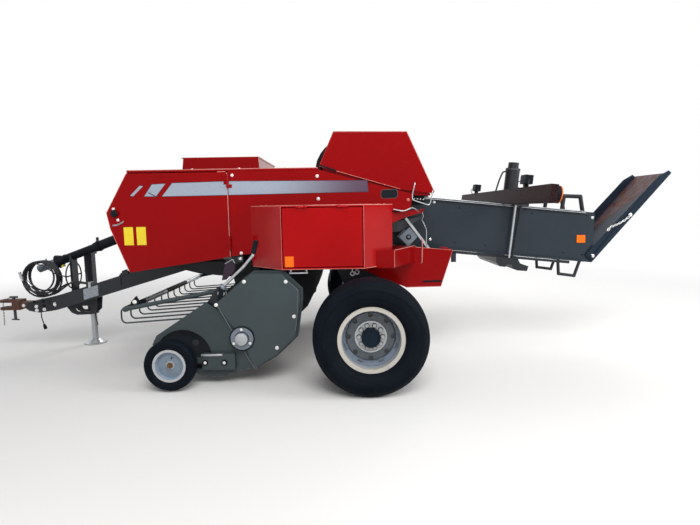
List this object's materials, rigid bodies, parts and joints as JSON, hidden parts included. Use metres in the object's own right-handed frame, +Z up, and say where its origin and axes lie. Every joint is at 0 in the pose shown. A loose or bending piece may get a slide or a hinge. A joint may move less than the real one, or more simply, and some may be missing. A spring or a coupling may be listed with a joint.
{
  "type": "square baler",
  "caption": "Trailed small square baler with a tined pickup, feed auger, sloping bale chamber, hinged hood doors and folding bale chute, parked on its jack.",
  "frame": {"origin": "on the ground, under the middle of the machine's length and width", "axes": "+X from the hitch towards the chute, +Y towards the machine's right side, +Z up"},
  "size_m": [5.8826, 2.59, 1.814],
  "materials": {
    "red_paint": "glossy deep red paint with a little dust",
    "black_paint": "satin black paint",
    "charcoal_paint": "satin charcoal paint",
    "slate_paint": "satin blue-black paint, worn where bales slide",
    "silver_paint": "light grey paint",
    "rusty_iron": "rusty forged iron",
    "grey_iron": "painted grey cast iron",
    "bare_steel": "zinc-plated and bare worn steel",
    "guard_plastic": "matte black plastic",
    "lamp_lens": "red lamp lens",
    "amber_plastic": "amber reflector",
    "tyre_rubber": "matte black rubber"
  },
  "bodies": {
    "chassis": {"main_frame": "black_paint", "axle": "black_paint", "drawbar": "black_paint", "hitch": "rusty_iron", "jack": "black_paint", "gearbox": "grey_iron", "pto_guard": "guard_plastic", "pto_cradle": "black_paint", "hood_top": "red_paint", "side_left": "red_paint", "side_right": "red_paint", "knotter_fan": "guard_plastic", "knotters": "bare_steel", "twine_box_left": "red_paint", "twine_box_right": "red_paint", "lower_guards": "red_paint", "plunger_case": "slate_paint", "chamber_left": "slate_paint", "chamber_right": "slate_paint", "chamber_rails": "bare_steel", "feed_duct": "charcoal_paint", "feed_trough": "charcoal_paint", "shield_left": "charcoal_paint", "shield_right": "charcoal_paint", "hub_caps": "bare_steel", "lift_lever": "bare_steel", "needle_drive": "bare_steel", "density_frame": "black_paint", "density_cylinder": "black_paint", "light_bar": "black_paint", "lamp_housings": "guard_plastic", "lamps": "lamp_lens", "reflectors": "amber_plastic"},
    "jack_leg": {"jack_leg": "bare_steel"},
    "driveline": {"pto_shaft": "bare_steel"},
    "flywheel": {"flywheel": "red_paint"},
    "door_left": {"door_left": "red_paint"},
    "door_right": {"door_right": "red_paint"},
    "knotter_cover": {"knotter_cover": "red_paint"},
    "twine_lid_left": {"twine_lid_left": "red_paint", "lid_reflector_left": "amber_plastic"},
    "twine_lid_right": {"twine_lid_right": "red_paint", "lid_reflector_right": "amber_plastic"},
    "feed_auger": {"feed_auger": "bare_steel"},
    "chute": {"chute": "slate_paint"},
    "pickup": {"pickup_left": "charcoal_paint", "pickup_right": "charcoal_paint", "pickup_frame": "black_paint", "strippers": "charcoal_paint"},
    "reel": {"reel": "bare_steel"},
    "windguard": {"windguard": "charcoal_paint"},
    "gauge_wheel_left": {"gauge_tyre_left": "tyre_rubber", "gauge_rim_left": "silver_paint"},
    "gauge_wheel_right": {"gauge_tyre_right": "tyre_rubber", "gauge_rim_right": "silver_paint"},
    "wheel_left": {"tyre_left": "tyre_rubber", "rim_left": "silver_paint"},
    "wheel_right": {"tyre_right": "tyre_rubber", "rim_right": "silver_paint"}
  },
  "joints": [
    {"name": "wheel_left_spin", "type": "hinge", "parent": "chassis", "child": "wheel_left", "pos_m": [0.37866, -1.125, 0.3925], "axis": [0, 1, 0], "continuous": true},
    {"name": "wheel_right_spin", "type": "hinge", "parent": "chassis", "child": "wheel_right", "pos_m": [0.37866, 1.125, 0.3925], "axis": [0, 1, 0], "continuous": true},
    {"name": "pickup_lift", "type": "hinge", "parent": "chassis", "child": "pickup", "pos_m": [-0.52534, 0, 0.345], "axis": [0, 1, 0], "range_deg": [0, 7]},
    {"name": "gauge_left_spin", "type": "hinge", "parent": "pickup", "child": "gauge_wheel_left", "pos_m": [-1.01034, -1.06, 0.188], "axis": [0, 1, 0], "continuous": true},
    {"name": "gauge_right_spin", "type": "hinge", "parent": "pickup", "child": "gauge_wheel_right", "pos_m": [-1.01034, 1.06, 0.188], "axis": [0, 1, 0], "continuous": true},
    {"name": "reel_spin", "type": "hinge", "parent": "pickup", "child": "reel", "pos_m": [-0.88134, 0, 0.3], "axis": [0, 1, 0], "continuous": true},
    {"name": "windguard_lift", "type": "hinge", "parent": "pickup", "child": "windguard", "pos_m": [-0.68234, 0, 0.676], "axis": [0, -1, 0], "range_deg": [-7, 0]},
    {"name": "auger_spin", "type": "hinge", "parent": "chassis", "child": "feed_auger", "pos_m": [-0.52534, 0, 0.345], "axis": [0, 1, 0], "continuous": true},
    {"name": "flywheel_spin", "type": "hinge", "parent": "chassis", "child": "flywheel", "pos_m": [-1.2799, 0, 1.175], "axis": [1, 0, 0], "continuous": true},
    {"name": "driveline_spin", "type": "hinge", "parent": "chassis", "child": "driveline", "pos_m": [-2.42134, 0, 0.802], "axis": [0.9404, 0, 0.3401], "continuous": true},
    {"name": "door_left_hinge", "type": "hinge", "parent": "chassis", "child": "door_left", "pos_m": [-0.64934, -0.711, 1.175], "axis": [0, 0, 1], "range_deg": [0, 95]},
    {"name": "door_right_hinge", "type": "hinge", "parent": "chassis", "child": "door_right", "pos_m": [-0.64934, 0.711, 1.175], "axis": [0, 0, -1], "range_deg": [0, 95]},
    {"name": "cover_hinge", "type": "hinge", "parent": "chassis", "child": "knotter_cover", "pos_m": [0.88766, 0, 1.354], "axis": [0, 1, 0], "range_deg": [0, 60]},
    {"name": "twine_lid_left_hinge", "type": "hinge", "parent": "chassis", "child": "twine_lid_left", "pos_m": [0.09466, -0.959, 1.263], "axis": [-1, 0, 0], "range_deg": [0, 90]},
    {"name": "twine_lid_right_hinge", "type": "hinge", "parent": "chassis", "child": "twine_lid_right", "pos_m": [0.09466, 0.959, 1.263], "axis": [1, 0, 0], "range_deg": [0, 90]},
    {"name": "chute_hinge", "type": "hinge", "parent": "chassis", "child": "chute", "pos_m": [2.29966, 0, 0.813], "axis": [0, 1, 0], "range_deg": [0, 55.3]},
    {"name": "jack_slide", "type": "slide", "parent": "chassis", "child": "jack_leg", "axis": [0, 0, 1], "range_m": [-0.1, 0.2]}
  ],
  "couplings": [
    {"joint": "driveline_spin", "follows": "flywheel_spin", "ratio": 1}
  ]
}
